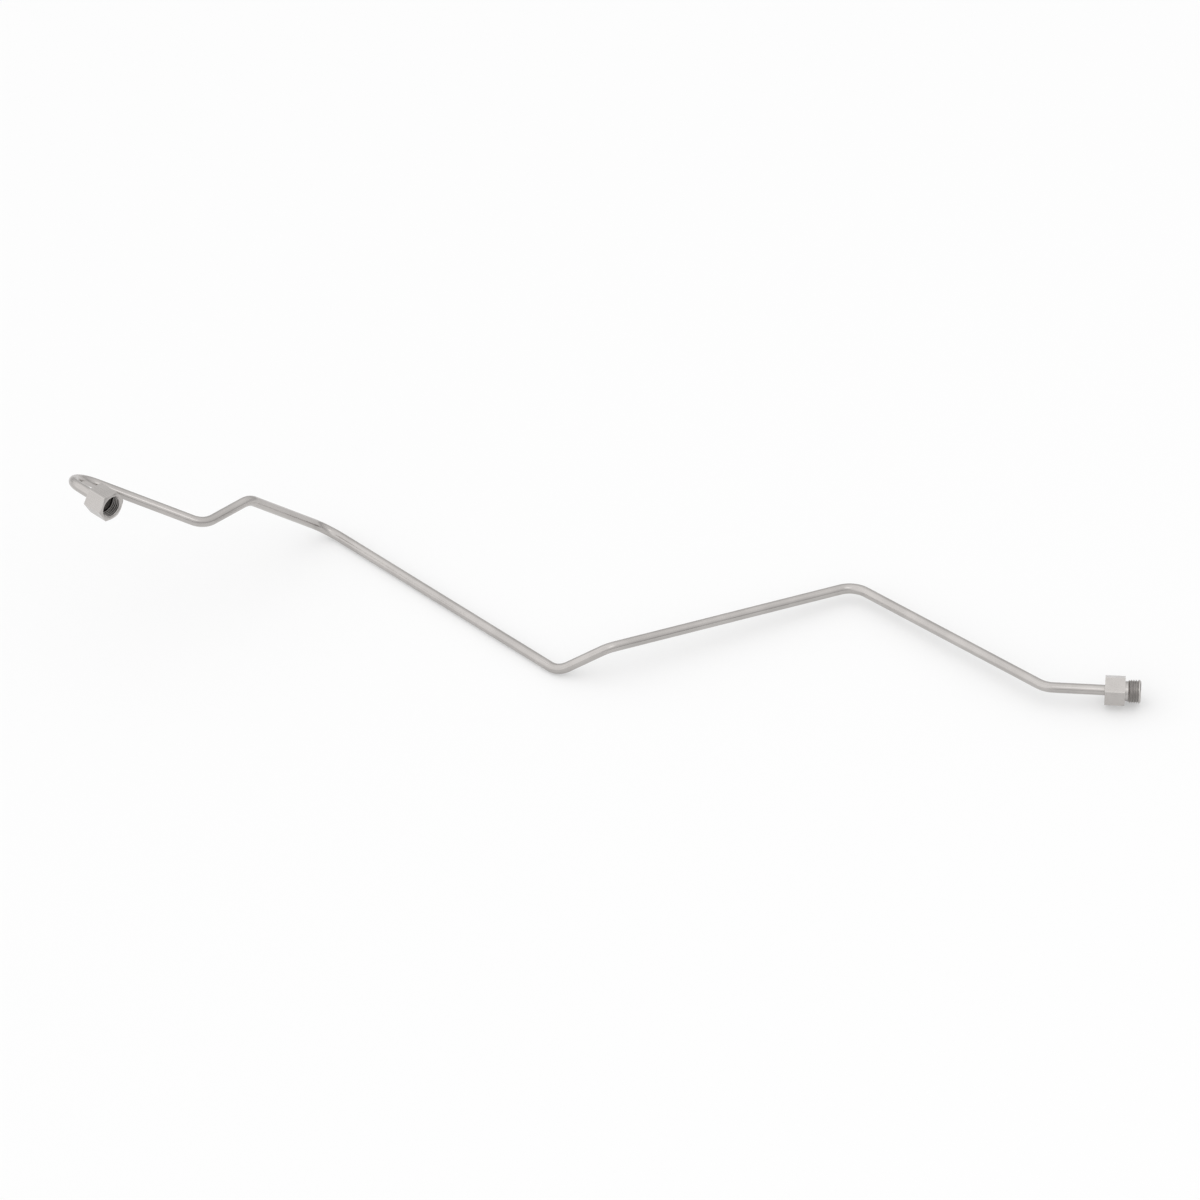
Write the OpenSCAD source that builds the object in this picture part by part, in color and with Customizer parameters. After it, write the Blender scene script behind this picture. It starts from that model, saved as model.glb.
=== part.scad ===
// Bent hydraulic tube with a swivel nut at one end and a male connector at the other.
// Millimetres, Z up. The tube lies as it comes to rest: its base run and one corner
// of the connector's hexagon are on Z = 0. The origin is under the middle of the whole.

/* [Tube] */
// Outside diameter of the tube
tube_od = 6.35; // [5:0.05:7]
// Wall thickness of the tube
tube_wall = 0.89; // [0.6:0.01:1.2]
// Bend radius on the tube's centre line
bend_radius = 14.5; // [12:0.5:18]
// Loss of radius where the tube is drawn through a bend
bend_thinning = 0.05; // [0.04:0.01:0.12]
// Straight part of the base run, the one that lies on the floor
base_straight = 186.2; // [150:0.1:230]

/* [Nut side bends] */
// Angle about the base run from the connector side's first bend plane to this side's
side_roll_angle = 100.2; // [90:0.1:110]
// Bend from the base run up into the drop
drop_bend_angle = 90; // [80:0.1:100]
// Straight part of the drop
drop_straight = 63.3; // [40:0.1:90]
// Turn of the bend plane before the shelf
shelf_turn_angle = -88.8; // [-100:0.1:-80]
// Bend from the drop into the shelf
shelf_bend_angle = 40; // [30:0.1:50]
// Straight part of the shelf
shelf_straight = 24.9; // [10:0.1:50]
// Turn of the bend plane before the climb
climb_turn_angle = -115.7; // [-125:0.1:-105]
// Bend from the shelf into the climb
climb_bend_angle = 55; // [45:0.1:65]
// Straight part of the climb
climb_straight = 62.1; // [50:0.1:100]
// Turn of the bend plane before the return
return_turn_angle = -141.5; // [-150:0.1:-130]
// Bend that turns the tube back toward the nut
return_bend_angle = 137.8; // [125:0.1:145]
// Straight part from the return bend to the nut's mouth
nut_straight = 29; // [25:0.1:50]

/* [Connector side bends] */
// Bend from the base run into the riser
riser_bend_angle = 52.8; // [45:0.1:60]
// Straight part of the riser
riser_straight = 22.7; // [10:0.1:40]
// Turn of the bend plane before the cross run
cross_turn_angle = -76.3; // [-85:0.1:-68]
// Bend from the riser into the cross run
cross_bend_angle = 37.4; // [30:0.1:45]
// Straight part of the cross run
cross_straight = 150.1; // [120:0.1:180]
// Turn of the bend plane before the long run
long_turn_angle = -125.4; // [-135:0.1:-115]
// Bend from the cross run into the long run
long_bend_angle = 67.2; // [58:0.1:76]
// Straight part of the long run
long_straight = 140.7; // [110:0.1:170]
// Turn of the bend plane before the end run
end_turn_angle = 178.9; // [170:0.1:190]
// Bend from the long run into the end run
end_bend_angle = 39.5; // [30:0.1:50]
// Straight part from the last bend to the connector's end face
end_straight = 52.4; // [36:0.1:80]

/* [Thread] */
// Outside diameter of the male thread, which the nut's thread also fits
thread_od = 14.29; // [13.8:0.01:14.8]
// Thread pitch, which sets the thread's depth
thread_pitch = 1.411; // [1.1:0.001:1.6]

/* [Nut] */
// Width across the flats of the nut
nut_flats = 17; // [16.4:0.1:20]
// Length of the nut along its axis
nut_length = 14.8; // [13.5:0.1:18]
// Height of the chamfer at the corners of the mouth end
nut_chamfer = 1; // [0.7:0.1:1.3]
// Turn of the nut's hexagon about its axis at rest
nut_clock_angle = -29; // [-60:0.5:60]
// Widening of the countersunk mouth past the thread's outside, on each side
mouth_lead = 0.1; // [0.05:0.05:0.3]
// Widening of the relief at the thread's inner end past its outside, on each side
relief_lead = 0.2; // [0.1:0.05:0.3]
// Distance that the thread stops short of the sleeve's sealing face
thread_short = 0.5; // [0.3:0.1:1]

/* [Sleeve] */
// Depth of the sleeve's sealing face below the nut's mouth
face_depth = 7.4; // [5:0.1:8]
// Thickness of the sleeve's head
head_thick = 3.5; // [2.5:0.1:4.2]
// Wall of the sleeve around the tube, behind its head
shank_wall = 1.1; // [0.8:0.05:1.3]
// Distance that the shank ends short of the nut's back
shank_short = 0.5; // [0.3:0.1:1]
// Depth of the tube's end below the sealing face
tube_recess = 1.2; // [0.8:0.1:2]

/* [Connector] */
// Width across the flats of the connector
hex_flats = 17; // [16:0.1:20]
// Length of the connector's hexagon
hex_length = 12.1; // [10:0.1:16]
// Turn of the connector's hexagon about its axis
hex_clock_angle = -27.5; // [-60:0.5:60]
// Diameter of the neck between hexagon and thread
neck_od = 12; // [11.6:0.1:12.4]
// Length of the neck
neck_length = 1.8; // [1.3:0.1:3]
// Length of the threaded end, chamfers included
stud_length = 7.7; // [6:0.1:10]
// Depth of the tube's socket in the hexagon
socket_depth = 8; // [6:0.1:10]
// Width of the seal groove in the end face
groove_width = 1.85; // [1.6:0.05:2]
// Depth of the seal groove
groove_depth = 1.3; // [1:0.05:1.6]
// Width of the rim outside the seal groove
groove_rim = 0.55; // [0.4:0.05:0.8]

/* [Edges] */
// Small chamfer on the turned edges of the sleeve and the socket
edge_break = 0.3; // [0.2:0.05:0.4]

/* [Clearances] */
// Gap for braze metal around the tube, on each side
braze_gap = 0.05; // [0.02:0.01:0.1]
// Running gap between the nut and the sleeve's shank, on each side
swivel_gap = 0.08; // [0.05:0.01:0.1]
// Gap between the nut's thread and the sleeve's head, on each side
head_gap = 0.4; // [0.3:0.05:0.6]
// Free play of the nut along the tube
nut_play = 0.3; // [0.3:0.05:0.6]

/* [Hidden] */
$fn = 96;
// distance that a cut runs past the face it opens
past = 1;
// distance that each straight laps over the thinner bend beside it
lap = 0.2;
// depth of a 60 degree thread inside a nut and on a stud, as shares of its pitch
nut_thread_share = 0.541;
stud_thread_share = 0.613;
// slope of the nut's corner chamfer to its mouth
chamfer_angle = 30;
hex_sides = 6;
// points on a bend and on a round edge, for the outline on the floor
bend_share = 0.1;
edge_points = 24;

tube_r = tube_od / 2;
bore_r = tube_r - tube_wall;
socket_r = tube_r + braze_gap;

thread_r = thread_od / 2;
nut_bore_r = thread_r - nut_thread_share * thread_pitch;
root_r = thread_r - stud_thread_share * thread_pitch;

// the nut's mouth is countersunk at 45 degrees, and its relief opens at 45 degrees too
mouth_r = thread_r + mouth_lead;
mouth_depth = mouth_r - nut_bore_r;
relief_r = thread_r + relief_lead;
relief_depth = face_depth - thread_short;
nut_corner_r = nut_flats / sqrt(3);
nut_face_r = nut_corner_r - nut_chamfer / tan(chamfer_angle);

head_r = nut_bore_r - head_gap;
shank_r = socket_r + shank_wall;
nut_back_r = shank_r + swivel_gap;
head_depth = face_depth + head_thick;
shoulder_depth = head_depth + nut_play;
shank_depth = nut_length - shank_short;
tube_end_depth = face_depth + tube_recess;

hex_corner_r = hex_flats / sqrt(3);
neck_r = neck_od / 2;
// both chamfers of the stud run at 45 degrees from the thread's crest to its root
stud_chamfer = thread_r - root_r;
hex_front = stud_length + neck_length;
connector_length = hex_front + hex_length;
socket_floor = connector_length - socket_depth;
groove_r = root_r - groove_rim;

// each row: turn of the bend plane, bend angle, length of straight tube after the bend
nut_legs = [
    [180, drop_bend_angle, drop_straight],
    [shelf_turn_angle, shelf_bend_angle, shelf_straight],
    [climb_turn_angle, climb_bend_angle, climb_straight],
    [return_turn_angle, return_bend_angle, nut_straight - tube_end_depth]
];
end_legs = [
    [0, riser_bend_angle, riser_straight],
    [cross_turn_angle, cross_bend_angle, cross_straight],
    [long_turn_angle, long_bend_angle, long_straight],
    [end_turn_angle, end_bend_angle, end_straight - socket_floor]
];

function move_by(v) = [[1, 0, 0, v.x], [0, 1, 0, v.y], [0, 0, 1, v.z], [0, 0, 0, 1]];
function turn_x(a) = [[1, 0, 0, 0], [0, cos(a), -sin(a), 0], [0, sin(a), cos(a), 0], [0, 0, 0, 1]];
function turn_y(a) = [[cos(a), 0, sin(a), 0], [0, 1, 0, 0], [-sin(a), 0, cos(a), 0], [0, 0, 0, 1]];
function turn_z(a) = [[cos(a), -sin(a), 0, 0], [sin(a), cos(a), 0, 0], [0, 0, 1, 0], [0, 0, 0, 1]];
function place_of(frame, v = [0, 0, 0]) = [for (i = [0:2]) (frame * [v.x, v.y, v.z, 1])[i]];

// a frame's Z runs along the tube, and a bend turns the tube toward the frame's X
function past_bend(angle) = move_by([bend_radius, 0, 0]) * turn_y(angle) * move_by([-bend_radius, 0, 0]);
function bend_start(legs, i, start) = straight_end(legs, i, start) * turn_z(legs[i][0]);
function straight_start(legs, i, start) = bend_start(legs, i, start) * past_bend(legs[i][1]);
function straight_end(legs, i, start) =
    i == 0 ? start : straight_start(legs, i - 1, start) * move_by([0, 0, legs[i - 1][2]]);

// both sides start at the ends of the base run, which lies along X
end_start = move_by([base_straight / 2, 0, 0]) * turn_y(90);
nut_start = turn_x(side_roll_angle) * move_by([-base_straight / 2, 0, 0]) * turn_y(-90);
end_frame = straight_end(end_legs, len(end_legs), end_start) * move_by([0, 0, socket_floor]);
nut_frame = straight_end(nut_legs, len(nut_legs), nut_start) * move_by([0, 0, tube_end_depth]);

function ring(frame, r, z, count, clock) =
    [for (i = [0:count - 1]) place_of(frame * turn_z(clock + i * 360 / count), [r, 0, z])];
function bend_points(legs, start) =
    [for (i = [0:len(legs) - 1]) for (t = [0:bend_share:1])
        place_of(bend_start(legs, i, start) * past_bend(t * legs[i][1]))];

hex_points = concat(
    ring(end_frame, hex_corner_r, -hex_front, hex_sides, hex_clock_angle),
    ring(end_frame, hex_corner_r, -connector_length, hex_sides, hex_clock_angle)
);
end_points = bend_points(end_legs, end_start);
// the tube rolls about its base run until a corner of the hexagon, or a bend, is down too
rest_roll = max(concat(
    [for (p = hex_points) -atan2(p.z, p.y) - asin(tube_r / norm([p.y, p.z]))],
    [for (p = end_points) -atan2(p.z, p.y)]
));

// the outline on the floor, for the origin under its middle
outline = [for (p = concat(
    hex_points,
    ring(end_frame, thread_r, -stud_chamfer, edge_points, 0),
    ring(nut_frame, nut_corner_r, -nut_chamfer, hex_sides, nut_clock_angle),
    ring(nut_frame, nut_corner_r, -nut_length, hex_sides, nut_clock_angle),
    bend_points(nut_legs, nut_start)
)) place_of(turn_x(rest_roll), p)];
middle_x = (min([for (p = outline) p.x]) - tube_r + max([for (p = outline) p.x])) / 2;
middle_y = (min([for (p = outline) p.y]) + max([for (p = outline) p.y])) / 2;

module at_rest() {
    translate([-middle_x, -middle_y, tube_r]) {
        rotate([rest_roll, 0, 0]) {
            children();
        }
    }
}

module bend(angle, r) {
    translate([bend_radius, 0, 0]) {
        rotate([90, 0, 180]) {
            rotate_extrude(angle = angle) {
                translate([bend_radius, 0]) {
                    circle(r = r - bend_thinning);
                }
            }
        }
    }
}

// bends and straights from one end of the base run to the tube's end, and on by the tip
module side(legs, start, r, tip) {
    last = len(legs) - 1;
    for (i = [0:last]) {
        multmatrix(bend_start(legs, i, start)) {
            bend(legs[i][1], r);
        }
        multmatrix(straight_start(legs, i, start)) {
            translate([0, 0, -lap]) {
                cylinder(h = legs[i][2] + lap + (i == last ? tip : lap), r = r);
            }
        }
    }
}

module path(r, tip) {
    translate([-base_straight / 2 - lap, 0, 0]) {
        rotate([0, 90, 0]) {
            cylinder(h = base_straight + 2 * lap, r = r);
        }
    }
    side(end_legs, end_start, r, tip);
    side(nut_legs, nut_start, r, tip);
}

module tube() {
    color("LightGray") {
        at_rest() {
            difference() {
                path(tube_r, 0);
                path(bore_r, past);
            }
        }
    }
}

// turned shapes are drawn with their outer face at Z = 0 and the tube coming from below
module turned(points) {
    rotate_extrude() {
        polygon(points);
    }
}

module hex_bar(corner_r, from, to, clock) {
    translate([0, 0, -from]) {
        rotate([0, 0, clock]) {
            cylinder(h = from - to, r = corner_r, $fn = hex_sides);
        }
    }
}

module sleeve() {
    color("DarkGray") {
        at_rest() {
            multmatrix(nut_frame) {
                turned([
                    [bore_r, -face_depth],
                    [head_r - edge_break, -face_depth],
                    [head_r, -face_depth - edge_break],
                    [head_r, -head_depth],
                    [shank_r, -head_depth],
                    [shank_r, -shank_depth + edge_break],
                    [shank_r - edge_break, -shank_depth],
                    [socket_r, -shank_depth],
                    [socket_r, -tube_end_depth],
                    [bore_r, -tube_end_depth]
                ]);
            }
        }
    }
}

module nut() {
    color("Silver") {
        at_rest() {
            multmatrix(nut_frame) {
                intersection() {
                    hex_bar(nut_corner_r, nut_length, 0, nut_clock_angle);
                    turned([
                        [nut_back_r, -nut_length],
                        [nut_corner_r + past, -nut_length],
                        [nut_corner_r + past, -nut_chamfer - past * tan(chamfer_angle)],
                        [nut_face_r, 0],
                        [mouth_r, 0],
                        [nut_bore_r, -mouth_depth],
                        [nut_bore_r, -relief_depth],
                        [relief_r, -relief_depth - relief_r + nut_bore_r],
                        [relief_r, -shoulder_depth],
                        [nut_back_r, -shoulder_depth]
                    ]);
                }
            }
        }
    }
}

module connector() {
    color("Silver") {
        at_rest() {
            multmatrix(end_frame) {
                difference() {
                    union() {
                        hex_bar(hex_corner_r, connector_length, hex_front, hex_clock_angle);
                        turned([
                            [0, -hex_front - past],
                            [neck_r, -hex_front - past],
                            [neck_r, -stud_length],
                            [root_r, -stud_length],
                            [thread_r, -stud_length + stud_chamfer],
                            [thread_r, -stud_chamfer],
                            [root_r, 0],
                            [0, 0]
                        ]);
                    }
                    turned([
                        [groove_r - groove_width, -groove_depth],
                        [groove_r, -groove_depth],
                        [groove_r, past],
                        [groove_r - groove_width, past]
                    ]);
                    turned([
                        [0, -connector_length - past],
                        [socket_r + edge_break + past, -connector_length - past],
                        [socket_r, -connector_length + edge_break],
                        [socket_r, -socket_floor],
                        [bore_r, -socket_floor],
                        [bore_r, past],
                        [0, past]
                    ]);
                }
            }
        }
    }
}

tube();
sleeve();
nut();
connector();
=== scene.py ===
import math

import bmesh
import bpy
from mathutils import Matrix, Vector


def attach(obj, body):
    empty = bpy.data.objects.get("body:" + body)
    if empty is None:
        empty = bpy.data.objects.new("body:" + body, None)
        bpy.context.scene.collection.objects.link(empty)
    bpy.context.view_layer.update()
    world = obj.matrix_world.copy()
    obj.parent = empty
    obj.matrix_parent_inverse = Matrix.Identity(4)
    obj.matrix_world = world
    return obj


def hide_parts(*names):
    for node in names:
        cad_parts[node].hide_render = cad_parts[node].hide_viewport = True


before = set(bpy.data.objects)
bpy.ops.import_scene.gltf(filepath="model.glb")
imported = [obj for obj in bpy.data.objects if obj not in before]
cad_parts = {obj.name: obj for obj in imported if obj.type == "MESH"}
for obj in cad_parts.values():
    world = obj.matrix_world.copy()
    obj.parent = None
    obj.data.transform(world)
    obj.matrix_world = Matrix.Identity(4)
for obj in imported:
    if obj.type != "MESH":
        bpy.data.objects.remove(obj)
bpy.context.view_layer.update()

mm = 0.001
print("frame loaded:", ", ".join(sorted(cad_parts)))


# the camera stands where the photograph was taken from, well above the tube
cameraView = {
    "place": (2.43669, -2.20072, 2.7137),
    "turn": (50.8566, 2.8939, 45.5351),
    "lens": 209.51,
    "reach": 60.0,
}


def addCamera(view):
    bpy.ops.object.select_all(action="DESELECT")
    angles = [math.radians(angle) for angle in view["turn"]]
    bpy.ops.object.camera_add(location=view["place"], rotation=angles)
    camera = bpy.context.object
    camera.name = "photoCamera"
    camera.data.lens = view["lens"]
    camera.data.clip_end = view["reach"]
    bpy.context.scene.camera = camera


addCamera(cameraView)
print("camera set")


mergeGap = 0.0005 * mm      # points closer than this are one point


def startClean():
    if bpy.context.object and bpy.context.object.mode != "OBJECT":
        bpy.ops.object.mode_set(mode="OBJECT")
    bpy.ops.object.select_all(action="DESELECT")


def startWith(piece):
    startClean()
    bpy.context.view_layer.objects.active = piece
    piece.select_set(True)


def pick(piece, test, kind="VERT"):
    # selects the points or edges of the mesh in edit mode that pass a test
    bpy.ops.mesh.select_mode(type=kind)
    bpy.ops.mesh.select_all(action="DESELECT")
    grid = bmesh.from_edit_mesh(piece.data)
    for part in grid.verts if kind == "VERT" else grid.edges:
        part.select = test(part)
    grid.select_flush_mode()
    bmesh.update_edit_mesh(piece.data)


def closeUp():
    # merges what meets in the mesh in edit mode and turns its faces outwards
    bpy.ops.mesh.select_all(action="SELECT")
    bpy.ops.mesh.remove_doubles(threshold=mergeGap)
    bpy.ops.mesh.normals_make_consistent(inside=False)
    bpy.ops.object.mode_set(mode="OBJECT")


# the tube's route, as in the part's source
tubeSizes = {
    "radius": 3.175 * mm,
    "wall": 0.89 * mm,
    "bendRadius": 14.5 * mm,
    "baseStraight": 186.2 * mm,
    "sideRoll": 100.2,          # turn about the base run from the one side to the other
    "restRoll": 125.222954,     # turn about the base run at which the whole tube rests
    "middle": (109.23412 * mm, 28.11934 * mm),
    # turn of the bend plane, bend, straight after it in millimetres
    "nutLegs": [(180, 90, 63.3), (-88.8, 40, 24.9), (-115.7, 55, 62.1), (-141.5, 137.8, 20.4)],
    "endLegs": [(0, 52.8, 22.7), (-76.3, 37.4, 150.1), (-125.4, 67.2, 140.7), (178.9, 39.5, 38.8)],
    "sides": 48,
    "bendStep": 3.0,            # degrees from ring to ring in a bend
    "ringGap": 10 * mm,         # longest stretch between rings on a straight
    "ringReach": 1.01,          # how far round its centre a ring is looked for, in radii
    "smoothAngle": 40,
    # how far the fittings' outer faces stand past the tube's two ends
    "nutReach": 8.6 * mm,
    "connectorReach": 13.6 * mm,
}


def turn(angle, axis):
    return Matrix.Rotation(math.radians(angle), 4, axis)


def move(x, y, z):
    return Matrix.Translation((x, y, z))


def routeStarts(t):
    # frames at the two ends of the base run, with Z pointing along the tube away from it
    half = t["baseStraight"] / 2
    rest = move(-t["middle"][0], -t["middle"][1], t["radius"]) @ turn(t["restRoll"], "X")
    endStart = rest @ move(half, 0, 0) @ turn(90, "Y")
    nutStart = rest @ turn(t["sideRoll"], "X") @ move(-half, 0, 0) @ turn(-90, "Y")
    return endStart, nutStart


def pastBend(t, angle):
    return move(t["bendRadius"], 0, 0) @ turn(angle, "Y") @ move(-t["bendRadius"], 0, 0)


def drawStraight(t, here, length):
    # the open ring that is selected is drawn out in even steps
    steps = math.ceil(length / t["ringGap"])
    along = here.to_3x3() @ Vector((0, 0, length / steps))
    for _ in range(steps):
        bpy.ops.mesh.extrude_region_move(TRANSFORM_OT_translate={"value": along})
    return here @ move(0, 0, length)


def drawSide(t, legs, start, route, base):
    # the open ring at the start is bent and drawn out leg by leg, and each stretch goes on the route
    here = start
    clock, along, sign = base
    for plane, angle, straight in legs:
        here = here @ turn(plane, "Z")
        clock += sign * math.radians(plane)
        route.append(("bend", here.inverted(), math.radians(angle), clock, along, sign))
        steps = max(2, round(angle / t["bendStep"]))
        center = here @ Vector((t["bendRadius"], 0, 0))
        axis = here.to_3x3() @ Vector((0, 1, 0))
        bpy.ops.mesh.spin(steps=steps, angle=-math.radians(angle), center=center, axis=axis)
        here = here @ pastBend(t, angle)
        along += sign * t["bendRadius"] * math.radians(angle)
        route.append(("straight", here.inverted(), straight * mm, clock, along, sign))
        here = drawStraight(t, here, straight * mm)
        along += sign * straight * mm
    return here


def unrolled(t, point, route):
    # where a point was on the straight tube before it was bent, and whether a bend holds it
    bendR = t["bendRadius"]
    best = None
    for kind, inverse, size, clock, along, sign in route:
        local = inverse @ point
        if kind == "bend":
            x = bendR - math.hypot(bendR - local.x, local.z)
            reach = bendR * math.atan2(local.z, bendR - local.x)
            off = max(-reach, reach - bendR * size, 0)
        else:
            x, reach = local.x, local.z
            off = max(-reach, reach - size, 0)
        r = math.hypot(x, local.y)
        off += max(r - t["radius"], 0)
        if best is None or off < best[0]:
            angle = clock + sign * math.atan2(local.y, x)
            place = (r * math.cos(angle), r * math.sin(angle), along + sign * reach)
            best = off, place, kind == "bend"
    return best[1], float(best[2])


def markDrawn(t, piece, route):
    # the finish follows the tube as it was drawn, before it was bent
    marks = [unrolled(t, v.co, route) for v in piece.data.vertices]
    drawn = piece.data.attributes.new("drawn", "FLOAT_VECTOR", "POINT")
    drawn.data.foreach_set("vector", [n for place, _ in marks for n in place])
    bent = piece.data.attributes.new("bent", "FLOAT", "POINT")
    bent.data.foreach_set("value", [inBend for _, inBend in marks])


def makeTube(t):
    endStart, nutStart = routeStarts(t)
    startClean()
    bpy.ops.mesh.primitive_circle_add(
        vertices=t["sides"], radius=t["radius"], fill_type="NOTHING",
        location=nutStart.to_translation(), rotation=nutStart.to_euler())
    piece = bpy.context.object
    piece.name = "drawn_tube"
    bpy.ops.object.transform_apply(location=True, rotation=True, scale=True)
    bpy.ops.object.mode_set(mode="EDIT")
    bpy.ops.mesh.select_mode(type="EDGE")
    bpy.ops.mesh.select_all(action="SELECT")
    baseStart = endStart @ move(0, 0, -t["baseStraight"])
    route = [("straight", baseStart.inverted(), t["baseStraight"], 0.0, 0.0, 1)]
    drawStraight(t, baseStart, t["baseStraight"])
    tubeEnd = drawSide(t, t["endLegs"], endStart, route, (0.0, t["baseStraight"], 1))
    # back to the first ring, for the side with the nut
    first = nutStart.to_translation()
    pick(piece, lambda v: (v.co - first).length < t["ringReach"] * t["radius"])
    bpy.ops.mesh.select_mode(type="EDGE")
    across = baseStart.to_3x3().transposed() @ nutStart.to_3x3().col[0]
    nutClock = math.atan2(across.y, across.x)
    tubeNut = drawSide(t, t["nutLegs"], nutStart, route, (nutClock, 0.0, -1))
    closeUp()
    wall = piece.modifiers.new("wall", "SOLIDIFY")
    wall.thickness = t["wall"]
    wall.offset = -1
    bpy.ops.object.modifier_apply(modifier=wall.name)
    bpy.ops.object.shade_smooth_by_angle(angle=math.radians(t["smoothAngle"]))
    markDrawn(t, piece, route)
    return piece, tubeEnd @ move(0, 0, t["connectorReach"]), tubeNut @ move(0, 0, t["nutReach"])


tube, endFrame, nutFrame = makeTube(tubeSizes)
print("tube drawn and bent:", len(tube.data.polygons), "faces")


# the fittings are drawn on Z with their outer face at 0 and the tube below
fittingSizes = {
    "turnSteps": 96,        # sides of everything that is turned
    "smoothAngle": 24,
    "past": 1 * mm,         # how far bar and blank stand past each other where one is cut away
    "cornerR": 9.815 * mm,  # the hexagon bar, 17 mm across the flats
    "edge": 0.09 * mm,      # rounding of the bar's long edges
    "edgeSteps": 3,
    "toX": 30,              # degrees that bring a corner of a new bar to X
}

threadSizes = {
    "radius": 7.145 * mm,
    "pitch": 1.411 * mm,
    "flank": math.tan(math.radians(30)),
    "over": 0.03 * mm,      # how far a cutter stands past the surface that it opens
    # half the groove's width at its mouth and at its root, in pitches
    "nutMouth": 0.375,
    "nutRoot": 0.0626,
    "studMouth": 0.4375,
    "studRoot": 0.0836,
}


def drawOutline(name, points):
    # a plane merged to one point, drawn on from corner to corner in the XZ plane
    startClean()
    bpy.ops.mesh.primitive_plane_add(size=mm)
    piece = bpy.context.object
    piece.name = name
    corners = [Vector((r, 0, z)) for r, z in points]
    bpy.ops.object.mode_set(mode="EDIT")
    bpy.ops.mesh.select_mode(type="VERT")
    bpy.ops.mesh.select_all(action="SELECT")
    bpy.ops.mesh.merge(type="CENTER")
    bpy.ops.transform.translate(value=corners[0])
    for here, there in zip(corners, corners[1:]):
        bpy.ops.mesh.extrude_vertices_move(TRANSFORM_OT_translate={"value": there - here})
    return piece


def turned(name, points, f):
    # spins a closed outline about Z, as a lathe does
    piece = drawOutline(name, points + points[:1])
    bpy.ops.mesh.select_all(action="SELECT")
    bpy.ops.mesh.spin(steps=f["turnSteps"], angle=math.tau, center=(0, 0, 0), axis=(0, 0, 1))
    closeUp()
    return piece


def hexBar(name, length, clock, f):
    # six-sided bar with slightly rounded long edges, longer than the fitting at both ends
    startClean()
    bpy.ops.mesh.primitive_cylinder_add(
        vertices=6, radius=f["cornerR"], depth=length + 2 * f["past"],
        location=(0, 0, -length / 2), rotation=(0, 0, math.radians(clock + f["toX"])))
    piece = bpy.context.object
    piece.name = name
    bpy.ops.object.transform_apply(location=True, rotation=True, scale=True)
    bpy.ops.object.mode_set(mode="EDIT")
    pick(piece, lambda e: abs(e.verts[0].co.z - e.verts[1].co.z) > f["edge"], "EDGE")
    bpy.ops.mesh.bevel(offset=f["edge"], segments=f["edgeSteps"], affect="EDGES")
    bpy.ops.object.mode_set(mode="OBJECT")
    return piece


def easeOut(piece, corners, rings, lift):
    # lifts the last rings of a coil away from the axis, so that its groove runs out
    last = len(piece.data.vertices) // corners - 1
    bpy.ops.object.mode_set(mode="EDIT")
    for step in range(1, rings + 1):
        pick(piece, lambda v: v.index // corners == last - rings + step)
        grow = 1 + lift * (step / rings) ** 2
        bpy.ops.transform.resize(value=(grow, grow, 1), center_override=(0, 0, 0))
    bpy.ops.object.mode_set(mode="OBJECT")


def threadCutter(name, points, cut, f, th):
    # a closed outline screwed up along Z, right-handed, with both ends capped
    piece = drawOutline(name, points)
    bpy.ops.mesh.select_all(action="SELECT")
    bpy.ops.mesh.edge_face_add()
    bpy.ops.mesh.delete(type="ONLY_FACE")
    bpy.ops.mesh.select_all(action="SELECT")
    bpy.ops.transform.translate(value=(0, 0, cut["start"]))
    bpy.ops.object.mode_set(mode="OBJECT")
    coil = piece.modifiers.new("coil", "SCREW")
    coil.axis = "Z"
    coil.angle = math.tau
    coil.screw_offset = th["pitch"]
    coil.iterations = cut["turns"]
    coil.steps = f["turnSteps"]
    coil.render_steps = f["turnSteps"]
    bpy.ops.object.modifier_apply(modifier=coil.name)
    if cut["easeRings"]:
        easeOut(piece, len(points), cut["easeRings"], cut["easeLift"])
    piece.rotation_euler.z = math.radians(cut["clock"])
    bpy.ops.object.mode_set(mode="EDIT")
    bpy.ops.mesh.select_all(action="SELECT")
    bpy.ops.mesh.fill_holes(sides=0)
    bpy.ops.mesh.select_all(action="SELECT")
    bpy.ops.mesh.normals_make_consistent(inside=False)
    bpy.ops.object.mode_set(mode="OBJECT")
    return piece


def combine(piece, tool, how):
    startWith(piece)
    step = piece.modifiers.new(how.lower(), "BOOLEAN")
    step.operation = how
    step.solver = "EXACT"
    step.object = tool
    bpy.ops.object.modifier_apply(modifier=step.name)
    bpy.data.objects.remove(tool)


def settle(piece, place, f):
    # takes slivers out, then moves the piece to its place on the tube, with the place in its mesh
    startWith(piece)
    bpy.ops.object.mode_set(mode="EDIT")
    bpy.ops.mesh.select_all(action="SELECT")
    bpy.ops.mesh.remove_doubles(threshold=mergeGap)
    bpy.ops.mesh.dissolve_degenerate(threshold=mergeGap)
    bpy.ops.mesh.quads_convert_to_tris(quad_method="BEAUTY", ngon_method="BEAUTY")
    bpy.ops.mesh.select_all(action="SELECT")
    bpy.ops.mesh.dissolve_degenerate(threshold=mergeGap)
    bpy.ops.object.mode_set(mode="OBJECT")
    piece.matrix_world = place
    bpy.ops.object.transform_apply(location=True, rotation=True, scale=True)
    bpy.ops.object.shade_smooth_by_angle(angle=math.radians(f["smoothAngle"]))


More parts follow.
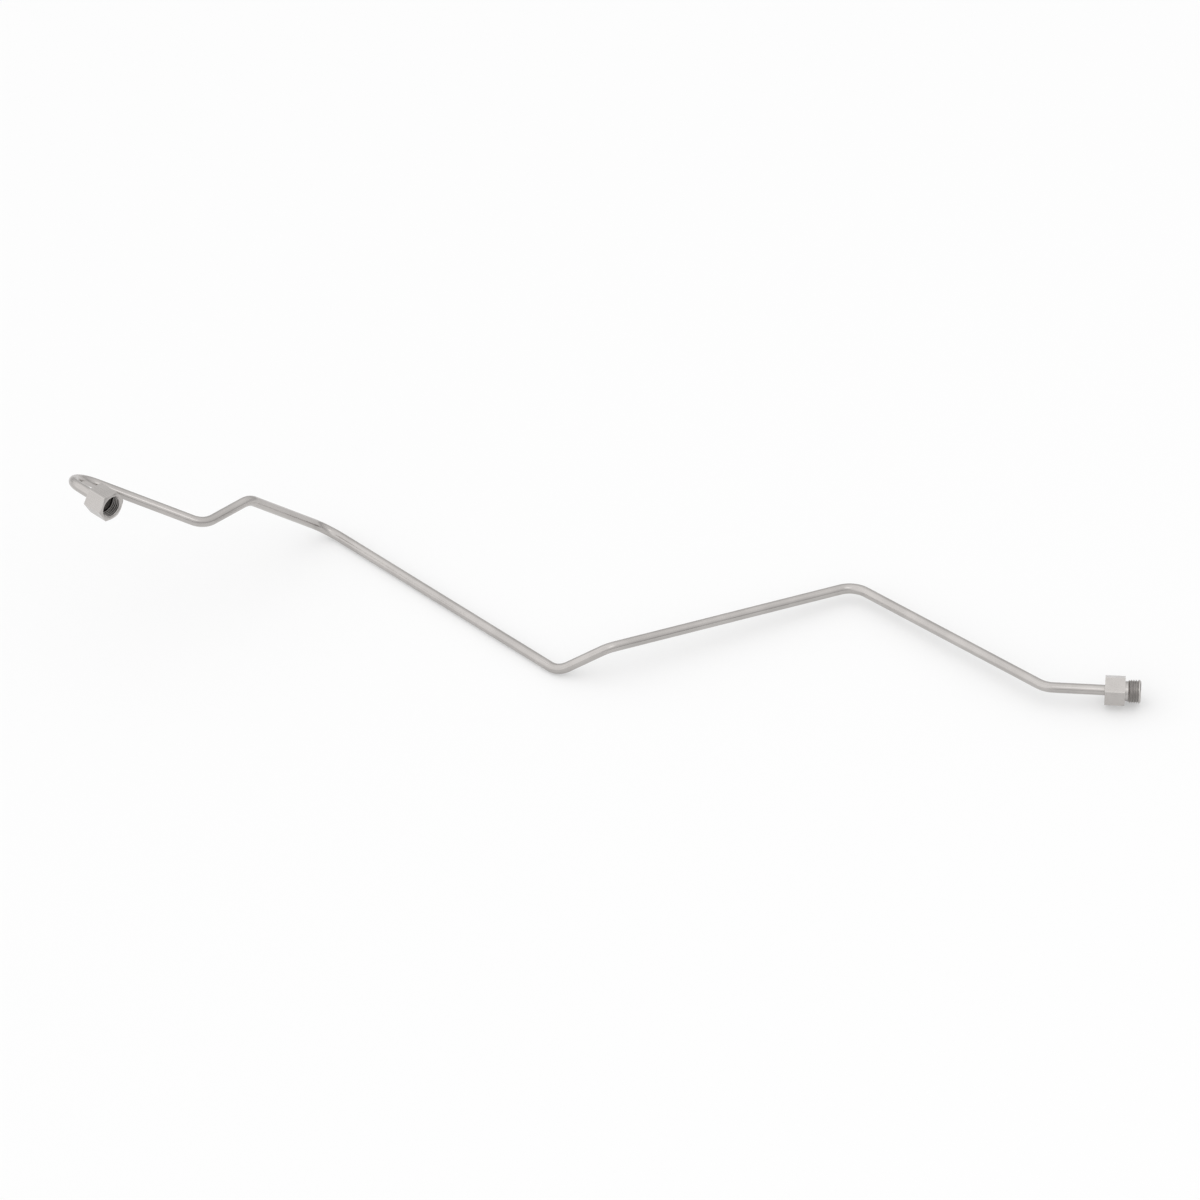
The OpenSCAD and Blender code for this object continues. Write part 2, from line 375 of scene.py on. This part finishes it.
nutSizes = {
    "length": 14.8 * mm,
    "clock": -29,
    "faceR": 8.0829 * mm,
    "faceSlope": math.tan(math.radians(30)),    # of the chamfer round the face
    "mouthR": 7.245 * mm,
    "boreR": 6.38165 * mm,
    "reliefDepth": 6.9 * mm,
    "reliefR": 7.345 * mm,
    "shoulderDepth": 11.2 * mm,
    "backR": 4.405 * mm,
    "lip": 0.08 * mm,
    "tap": {"start": -8.6 * mm, "turns": 7, "clock": 0, "easeRings": 0},
}


def makeNut(n, f, th):
    outer = f["cornerR"] + f["past"]
    mouthDepth = n["mouthR"] - n["boreR"]
    piece = hexBar("swivel_nut_body", n["length"], n["clock"], f)
    blank = turned("nutBlank", [
        (n["backR"], -n["length"] + n["lip"]),
        (n["backR"] + n["lip"], -n["length"]),
        (outer, -n["length"]),
        (outer, (n["faceR"] - outer) * n["faceSlope"]),
        (n["faceR"], 0),
        (n["mouthR"], 0),
        (n["boreR"], -mouthDepth),
        (n["boreR"], -n["reliefDepth"]),
        (n["reliefR"], n["boreR"] - n["reliefR"] - n["reliefDepth"]),
        (n["reliefR"], -n["shoulderDepth"]),
        (n["backR"], -n["shoulderDepth"]),
    ], f)
    combine(piece, blank, "INTERSECT")
    inner = n["boreR"] - th["over"]
    wide = th["nutMouth"] * th["pitch"] + th["over"] * th["flank"]
    narrow = th["nutRoot"] * th["pitch"]
    groove = [(inner, -wide), (th["radius"], -narrow), (th["radius"], narrow), (inner, wide)]
    combine(piece, threadCutter("nutTap", groove, n["tap"], f, th), "DIFFERENCE")
    return piece


nut = makeNut(nutSizes, fittingSizes, threadSizes)
settle(nut, nutFrame, fittingSizes)
print("nut threaded:", len(nut.data.polygons), "faces")


sleeveSizes = {
    "boreR": 2.285 * mm,
    "headR": 5.98165 * mm,
    "shankR": 4.325 * mm,
    "socketR": 3.225 * mm,
    "faceDepth": 7.4 * mm,
    "headDepth": 10.9 * mm,
    "shankDepth": 14.3 * mm,
    "tubeDepth": 8.6 * mm,
    "edge": 0.3 * mm,
}


def makeSleeve(s, f):
    return turned("flat_face_sleeve", [
        (s["boreR"], -s["faceDepth"]),
        (s["headR"] - s["edge"], -s["faceDepth"]),
        (s["headR"], -s["faceDepth"] - s["edge"]),
        (s["headR"], -s["headDepth"]),
        (s["shankR"], -s["headDepth"]),
        (s["shankR"], s["edge"] - s["shankDepth"]),
        (s["shankR"] - s["edge"], -s["shankDepth"]),
        (s["socketR"], -s["shankDepth"]),
        (s["socketR"], -s["tubeDepth"]),
        (s["boreR"], -s["tubeDepth"]),
    ], f)


sleeve = makeSleeve(sleeveSizes, fittingSizes)
settle(sleeve, nutFrame, fittingSizes)
print("sleeve turned:", len(sleeve.data.polygons), "faces")


connectorSizes = {
    "length": 21.6 * mm,
    "clock": -27.5,
    "hexFront": 9.5 * mm,
    "neckR": 6.0 * mm,
    "studLength": 7.7 * mm,
    "rootR": 6.28006 * mm,
    "socketFloor": 13.6 * mm,
    "socketR": 3.225 * mm,
    "socketEdge": 0.3 * mm,
    "boreR": 2.285 * mm,
    "grooveR": 5.73006 * mm,
    "grooveWidth": 1.85 * mm,
    "grooveDepth": 1.3 * mm,
    # the thread runs out before the end, on the side away from the camera
    "die": {"start": -8.115 * mm, "turns": 5, "clock": 26.25, "easeRings": 40, "easeLift": 0.16},
}


def makeConnector(c, f, th):
    outer = f["cornerR"] + f["past"]
    chamfer = th["radius"] - c["rootR"]
    grooveInner = c["grooveR"] - c["grooveWidth"]
    piece = hexBar("connector_body", c["length"], c["clock"], f)
    blank = turned("connectorBlank", [
        (c["boreR"], 0),
        (grooveInner, 0),
        (grooveInner, -c["grooveDepth"]),
        (c["grooveR"], -c["grooveDepth"]),
        (c["grooveR"], 0),
        (c["rootR"], 0),
        (th["radius"], -chamfer),
        (th["radius"], chamfer - c["studLength"]),
        (c["rootR"], -c["studLength"]),
        (c["neckR"], -c["studLength"]),
        (c["neckR"], -c["hexFront"]),
        (outer, -c["hexFront"]),
        (outer, -c["length"]),
        (c["socketR"] + c["socketEdge"], -c["length"]),
        (c["socketR"], c["socketEdge"] - c["length"]),
        (c["socketR"], -c["socketFloor"]),
        (c["boreR"], -c["socketFloor"]),
    ], f)
    combine(piece, blank, "INTERSECT")
    crest = th["radius"] + th["over"]
    wide = th["studMouth"] * th["pitch"] + th["over"] * th["flank"]
    narrow = th["studRoot"] * th["pitch"]
    groove = [(c["rootR"], -narrow), (crest, -wide), (crest, wide), (c["rootR"], narrow)]
    combine(piece, threadCutter("studDie", groove, c["die"], f, th), "DIFFERENCE")
    return piece


connector = makeConnector(connectorSizes, fittingSizes, threadSizes)
settle(connector, endFrame, fittingSizes)
print("connector threaded:", len(connector.data.polygons), "faces")


# where new nodes stand in the editor, and the sockets of a Mix node for numbers and for colours
nodeGrid = {"columns": 9, "left": -1900, "top": 700, "across": 190, "down": 240}
mixSockets = {"FLOAT": (2, 3, 0), "RGBA": (6, 7, 2)}


# short ways to add nodes: each gives back the socket that carries the result
def addNode(tree, kind, **values):
    node = tree.nodes.new(kind)
    row, column = divmod(len(tree.nodes), nodeGrid["columns"])
    x = nodeGrid["left"] + nodeGrid["across"] * column
    y = nodeGrid["top"] - nodeGrid["down"] * row
    node.location = (x, y)
    for name, value in values.items():
        setattr(node, name, value)
    return node


def feed(tree, socket, value):
    if isinstance(value, bpy.types.NodeSocket):
        tree.links.new(value, socket)
    elif value is not None:
        socket.default_value = value


def maths(tree, how, first, second=None):
    node = addNode(tree, "ShaderNodeMath", operation=how)
    feed(tree, node.inputs[0], first)
    feed(tree, node.inputs[1], second)
    return node.outputs[0]


def vectors(tree, how, first, second=None):
    node = addNode(tree, "ShaderNodeVectorMath", operation=how)
    feed(tree, node.inputs[0], first)
    feed(tree, node.inputs[1], second)
    return node.outputs["Value" if how in ("DOT_PRODUCT", "LENGTH") else "Vector"]


def times(tree, first, second):
    return maths(tree, "MULTIPLY", first, second)


def addSome(tree, value, mask, amount):
    return maths(tree, "ADD", value, times(tree, mask, amount))


def weigh(tree, first, share, second):
    # so much of the first, and the rest of the second
    return addSome(tree, times(tree, first, share), second, 1 - share)


def fade(tree, value, limits, results=(0.0, 1.0), curve="SMOOTHSTEP"):
    node = addNode(tree, "ShaderNodeMapRange", interpolation_type=curve)
    names = ("Value", "From Min", "From Max", "To Min", "To Max")
    for name, part in zip(names, (value, *limits, *results)):
        feed(tree, node.inputs[name], part)
    return node.outputs["Result"]


def cloud(tree, where, scale, detail):
    # soft noise, with one scale or with one for each axis
    if isinstance(scale, tuple):
        where = vectors(tree, "MULTIPLY", where, scale)
        scale = 1.0
    node = addNode(tree, "ShaderNodeTexNoise")
    feed(tree, node.inputs["Vector"], where)
    feed(tree, node.inputs["Scale"], scale)
    feed(tree, node.inputs["Detail"], detail)
    return node.outputs["Fac"]


def mix(tree, kind, factor, first, second):
    node = addNode(tree, "ShaderNodeMix", data_type=kind)
    firstInput, secondInput, result = mixSockets[kind]
    feed(tree, node.inputs[0], factor)
    feed(tree, node.inputs[firstInput], first)
    feed(tree, node.inputs[secondInput], second)
    return node.outputs[result]


def addBump(tree, shader, height, look):
    node = addNode(tree, "ShaderNodeBump")
    feed(tree, node.inputs["Height"], height)
    feed(tree, node.inputs["Distance"], look["bumpDepth"])
    feed(tree, node.inputs["Strength"], look["bumpStrength"])
    tree.links.new(node.outputs["Normal"], shader.inputs["Normal"])


def startMaterial(name):
    material = bpy.data.materials.new(name)
    material.use_nodes = True
    tree = material.node_tree
    return material, tree, tree.nodes["Principled BSDF"]


def startSteel(name):
    material, tree, steel = startMaterial(name)
    steel.inputs["Metallic"].default_value = 1.0
    return material, tree, steel, addNode(tree, "ShaderNodeTexCoord").outputs["Object"]


def onBoard(tree, where, place):
    # a place on a fitting as it was drawn: the point, its radius, its height, and both as a vector
    board = addNode(tree, "ShaderNodeMapping", vector_type="TEXTURE")
    board.inputs["Location"].default_value = place.to_translation()
    board.inputs["Rotation"].default_value = place.to_euler()
    tree.links.new(where, board.inputs["Vector"])
    local = board.outputs["Vector"]
    parts = addNode(tree, "ShaderNodeSeparateXYZ")
    tree.links.new(local, parts.inputs[0])
    z = parts.outputs["Z"]
    r = vectors(tree, "LENGTH", vectors(tree, "MULTIPLY", local, (1, 1, 0)))
    lathe = addNode(tree, "ShaderNodeCombineXYZ")
    tree.links.new(r, lathe.inputs["X"])
    tree.links.new(z, lathe.inputs["Y"])
    return local, r, z, lathe.outputs[0]


# the stretch of a noise's range that colour and roughness follow, and its middle
toneRange = (0.36, 0.64)
roughRange = (0.34, 0.66)
noiseMiddle = 0.5


# drawn tube: faint lines along its length, soft patches, a duller skin where it was bent
tubeLook = {
    "light": (0.510, 0.487, 0.471, 1),
    "dark": (0.440, 0.420, 0.406, 1),
    "scuff": (0.57, 0.55, 0.53, 1),
    "rough": (0.15, 0.27),
    "lineGap": 0.22 * mm,
    "lineLength": 28 * mm,
    "patchScale": 55.0,
    "grainScale": 900.0,
    "scuffScale": (420, 420, 60),
    "scuffLimits": (0.66, 0.80),
    "scuffShade": 0.5,
    "scuffRough": 0.07,
    "bendRough": 0.04,
    "tonePatches": 0.6,         # share of the patches in the tone, the rest is lines
    "roughLines": 0.5,          # share of the lines in the roughness, the rest is patches
    "bumpLines": 0.7,           # share of the lines in the bump, the rest is grain
    "bumpDepth": 0.012 * mm,
    "bumpStrength": 0.35,
}


def tubeFinish(look):
    material, tree, steel, where = startSteel("drawn_tube_steel")
    drawn = addNode(tree, "ShaderNodeAttribute", attribute_name="drawn").outputs["Vector"]
    bent = addNode(tree, "ShaderNodeAttribute", attribute_name="bent").outputs["Fac"]
    across = 1 / look["lineGap"]
    lines = cloud(tree, drawn, (across, across, 1 / look["lineLength"]), detail=3.0)
    patches = cloud(tree, where, look["patchScale"], detail=5.0)
    grain = cloud(tree, where, look["grainScale"], detail=2.0)
    scuffs = fade(tree, cloud(tree, drawn, look["scuffScale"], detail=4.0), look["scuffLimits"])
    tone = weigh(tree, patches, look["tonePatches"], lines)
    colour = mix(tree, "RGBA", fade(tree, tone, toneRange), look["dark"], look["light"])
    colour = mix(tree, "RGBA", times(tree, scuffs, look["scuffShade"]), colour, look["scuff"])
    tree.links.new(colour, steel.inputs["Base Color"])
    rough = fade(tree, weigh(tree, lines, look["roughLines"], patches), roughRange, look["rough"])
    rough = addSome(tree, rough, bent, look["bendRough"])
    rough = addSome(tree, rough, scuffs, look["scuffRough"])
    tree.links.new(rough, steel.inputs["Roughness"])
    addBump(tree, steel, weigh(tree, lines, look["bumpLines"], grain), look)
    return material


# plated bar: lines along the flats, rings where the lathe cut, bright corners, painted shade in the thread
# roots
platedLook = {
    "light": (0.500, 0.478, 0.462, 1),
    "dark": (0.455, 0.435, 0.420, 1),
    "worn": (0.58, 0.56, 0.54, 1),
    "rough": (0.22, 0.34),
    "flatsFrom": (8.3 * mm, 8.4 * mm),      # the flats lie outside this radius
    "flatsFacing": (0.15, 0.35),            # and hardly face along the axis
    "ringScale": 5200.0,
    "lineScale": (3400, 3400, 55),
    "patchScale": 130.0,
    "grainScale": 1500.0,
    "tonePatches": 0.6,         # share of the patches in the tone, the rest is tool marks
    "bumpTooling": 0.75,        # share of the tool marks in the bump, the rest is grain
    "bumpDepth": 0.012 * mm,
    "bumpStrength": 0.35,
    # wear starts and is full at these distances from the corners and from the two ends
    "cornerWear": (0.30 * mm, 0.05 * mm),
    "frontWear": (0.45 * mm, 0.10 * mm),
    "backWear": (0.35 * mm, 0.08 * mm),
    "raggedScale": 700.0,
    "ragged": 0.5 * mm,
    "wornShade": 0.35,
    "wornRough": -0.06,
    # the threads lie between these heights and inside this radius
    "thread": (-6.9 * mm, -1.0 * mm),
    "threadEdge": 0.1 * mm,
    "threadIn": (7.4 * mm, 7.5 * mm),
    "rootShade": 0.8,
    "rootRough": 0.15,
}
nutLook = {
    **platedLook,
    # painted shade for the thread roots, darker here because the nut's thread lies inside its bore
    "rootShadeTone": (0.23, 0.221, 0.213, 1),
    "ends": (0.0, -nutSizes["length"]),
    "root": (6.42 * mm, 6.75 * mm),         # the nut's roots are on the outside of its thread
}
connectorLook = {
    **platedLook,
    "rootShadeTone": (0.38, 0.366, 0.354, 1),
    "ends": (-connectorSizes["hexFront"], -connectorSizes["length"]),
    "root": (7.05 * mm, 6.32 * mm),
}


def flatsMask(tree, look, place, r):
    # the flats are told by how far the surface faces along the fitting's own axis
    facing = addNode(tree, "ShaderNodeVectorTransform", vector_type="NORMAL",
                     convert_from="WORLD", convert_to="OBJECT")
    tree.links.new(addNode(tree, "ShaderNodeNewGeometry").outputs["Normal"], facing.inputs[0])
    axial = vectors(tree, "DOT_PRODUCT", facing.outputs[0], place.to_3x3().col[2])
    across = fade(tree, maths(tree, "ABSOLUTE", axial), look["flatsFacing"], (1.0, 0.0))
    return times(tree, across, fade(tree, r, look["flatsFrom"]))


def wearMask(tree, look, where, r, z, flats):
    # wear where a spanner bears: the corners of the hexagon and its two ends
    noise = cloud(tree, where, look["raggedScale"], detail=4.0)
    ragged = times(tree, maths(tree, "SUBTRACT", noise, noiseMiddle), look["ragged"])
    raggedR = maths(tree, "ADD", r, ragged)
    raggedZ = maths(tree, "ADD", z, ragged)
    front, back = look["ends"]
    corner = fade(tree, raggedR, [fittingSizes["cornerR"] - gap for gap in look["cornerWear"]])
    atFront = fade(tree, raggedZ, [front - gap for gap in look["frontWear"]])
    atBack = fade(tree, raggedZ, [back + gap for gap in look["backWear"]])
    ends = times(tree, maths(tree, "MAXIMUM", atFront, atBack), flats)
    return maths(tree, "MAXIMUM", corner, ends)


def rootMask(tree, look, r, z):
    # painted shade that darkens the roots of the thread
    back, front = look["thread"]
    afterBack = fade(tree, z, (back - look["threadEdge"], back))
    beforeFront = fade(tree, z, (front, front + look["threadEdge"]), (1.0, 0.0))
    inThread = times(tree, times(tree, afterBack, beforeFront), fade(tree, r, look["threadIn"], (1.0, 0.0)))
    return times(tree, inThread, fade(tree, r, look["root"]))


def fittingFinish(name, look, place):
    material, tree, steel, where = startSteel(name)
    local, r, z, lathe = onBoard(tree, where, place)
    flats = flatsMask(tree, look, place, r)
    rings = cloud(tree, lathe, look["ringScale"], detail=2.0)
    lines = cloud(tree, local, look["lineScale"], detail=3.0)
    patches = cloud(tree, where, look["patchScale"], detail=5.0)
    grain = cloud(tree, where, look["grainScale"], detail=2.0)
    tooling = mix(tree, "FLOAT", flats, rings, lines)
    tone = weigh(tree, patches, look["tonePatches"], tooling)
    worn = wearMask(tree, look, where, r, z, flats)
    roots = rootMask(tree, look, r, z)
    colour = mix(tree, "RGBA", fade(tree, tone, toneRange), look["dark"], look["light"])
    colour = mix(tree, "RGBA", times(tree, worn, look["wornShade"]), colour, look["worn"])
    # painted shade darkens the roots of the thread
    colour = mix(tree, "RGBA", times(tree, roots, look["rootShade"]), colour, look["rootShadeTone"])
    tree.links.new(colour, steel.inputs["Base Color"])
    rough = fade(tree, tone, roughRange, look["rough"])
    rough = addSome(tree, rough, worn, look["wornRough"])
    rough = addSome(tree, rough, roots, look["rootRough"])
    tree.links.new(rough, steel.inputs["Roughness"])
    addBump(tree, steel, weigh(tree, tooling, look["bumpTooling"], grain), look)
    return material


# faced sleeve: close rings from the lathe, darker than the plated pieces as painted shade for its place
# deep in the nut's bore
sleeveLook = {
    "light": (0.25, 0.241, 0.233, 1),
    "dark": (0.20, 0.193, 0.186, 1),
    "rough": (0.24, 0.36),
    "ringScale": 6500.0,
    "patchScale": 220.0,
    "tonePatches": 0.5,         # share of the patches in the tone, the rest is rings
    "bumpDepth": 0.012 * mm,
    "bumpStrength": 0.4,
}


def sleeveFinish(look, place):
    material, tree, steel, where = startSteel("faced_sleeve_steel")
    lathe = onBoard(tree, where, place)[-1]
    rings = cloud(tree, lathe, look["ringScale"], detail=2.0)
    patches = cloud(tree, where, look["patchScale"], detail=4.0)
    tone = weigh(tree, patches, look["tonePatches"], rings)
    # the sleeve's dark tones are painted shade
    colour = mix(tree, "RGBA", fade(tree, tone, toneRange), look["dark"], look["light"])
    tree.links.new(colour, steel.inputs["Base Color"])
    tree.links.new(fade(tree, tone, roughRange, look["rough"]), steel.inputs["Roughness"])
    addBump(tree, steel, rings, look)
    return material


finishes = (
    (tube, "line", "tube", "tube_steel", tubeFinish(tubeLook)),
    (sleeve, "line", "sleeve", "sleeve_steel", sleeveFinish(sleeveLook, nutFrame)),
    (connector, "line", "connector", "connector_steel",
     fittingFinish("plated_connector_steel", connectorLook, endFrame)),
    (nut, "swivel_nut", "nut", "nut_steel", fittingFinish("plated_nut_steel", nutLook, nutFrame)),
)
for piece, body, node, slot, material in finishes:
    piece.data.materials.clear()
    piece.data.materials.append(material)
    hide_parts(node)
    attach(piece, body)
print("finishes on")


# white floor and one soft panel, in a studio that is brighter on one side and overhead
studio = {
    "floorSize": 12.0,
    "floorTone": 0.60,
    "floorRough": 0.9,
    "whiten": 0.30,         # lifts the floor to white where it is seen or mirrored
    "bright": (-0.273, -0.702, 0.658),      # toward the bright side
    "brightLimits": (0.24, 0.85),
    "overheadLimits": (0.45, 1.0),
    "overheadShare": 0.6,
    "strength": (0.93, 1.28),
    "beltTop": 0.52,        # a darker belt of wall above the floor, away from the bright side
    "beltLoss": 0.42,
    "panelPlace": (1.23, -0.40, 1.78),
    "panelSize": 0.7,
    "panelPower": 1.2,
}


def addFloor(s):
    startClean()
    bpy.ops.mesh.primitive_plane_add(size=s["floorSize"])
    floor = bpy.context.object
    floor.name = "studioFloor"
    material, tree, paint = startMaterial("pale_floor")
    paint.inputs["Base Color"].default_value = (s["floorTone"],) * 3 + (1,)
    paint.inputs["Roughness"].default_value = s["floorRough"]
    paint.inputs["Specular IOR Level"].default_value = 0
    rays = addNode(tree, "ShaderNodeLightPath").outputs
    seen = maths(tree, "MAXIMUM", rays["Is Camera Ray"], rays["Is Glossy Ray"])
    seen = maths(tree, "MAXIMUM", seen, rays["Is Transmission Ray"])
    paint.inputs["Emission Color"].default_value = (1, 1, 1, 1)
    tree.links.new(times(tree, seen, s["whiten"]), paint.inputs["Emission Strength"])
    floor.data.materials.append(material)


def addWorld(s):
    world = bpy.data.worlds.new("softStudio")
    bpy.context.scene.world = world
    world.use_nodes = True
    tree = world.node_tree
    direction = addNode(tree, "ShaderNodeTexCoord").outputs["Generated"]
    parts = addNode(tree, "ShaderNodeSeparateXYZ")
    tree.links.new(direction, parts.inputs[0])
    height = parts.outputs["Z"]
    bright = fade(tree, vectors(tree, "DOT_PRODUCT", direction, s["bright"]), s["brightLimits"])
    above = fade(tree, height, s["overheadLimits"], (0.0, s["overheadShare"]))
    light = fade(tree, maths(tree, "ADD", bright, above), (0.0, 1.0), s["strength"], "LINEAR")
    belt = fade(tree, height, (0.0, s["beltTop"]), (s["beltLoss"], 0.0))
    belt = times(tree, belt, maths(tree, "SUBTRACT", 1.0, bright))
    light = times(tree, light, maths(tree, "SUBTRACT", 1.0, belt))
    backdrop = tree.nodes["Background"]
    backdrop.inputs["Color"].default_value = (1, 1, 1, 1)
    tree.links.new(light, backdrop.inputs["Strength"])


def addPanel(s):
    startClean()
    aim = (-Vector(s["panelPlace"])).to_track_quat("-Z", "Y").to_euler()
    bpy.ops.object.light_add(type="AREA", location=s["panelPlace"], rotation=aim)
    panel = bpy.context.object
    panel.name = "softPanel"
    panel.data.size = s["panelSize"]
    panel.data.energy = s["panelPower"]


addFloor(studio)
addWorld(studio)
addPanel(studio)
bpy.context.scene.view_settings.view_transform = "Standard"
print("floor and light set")
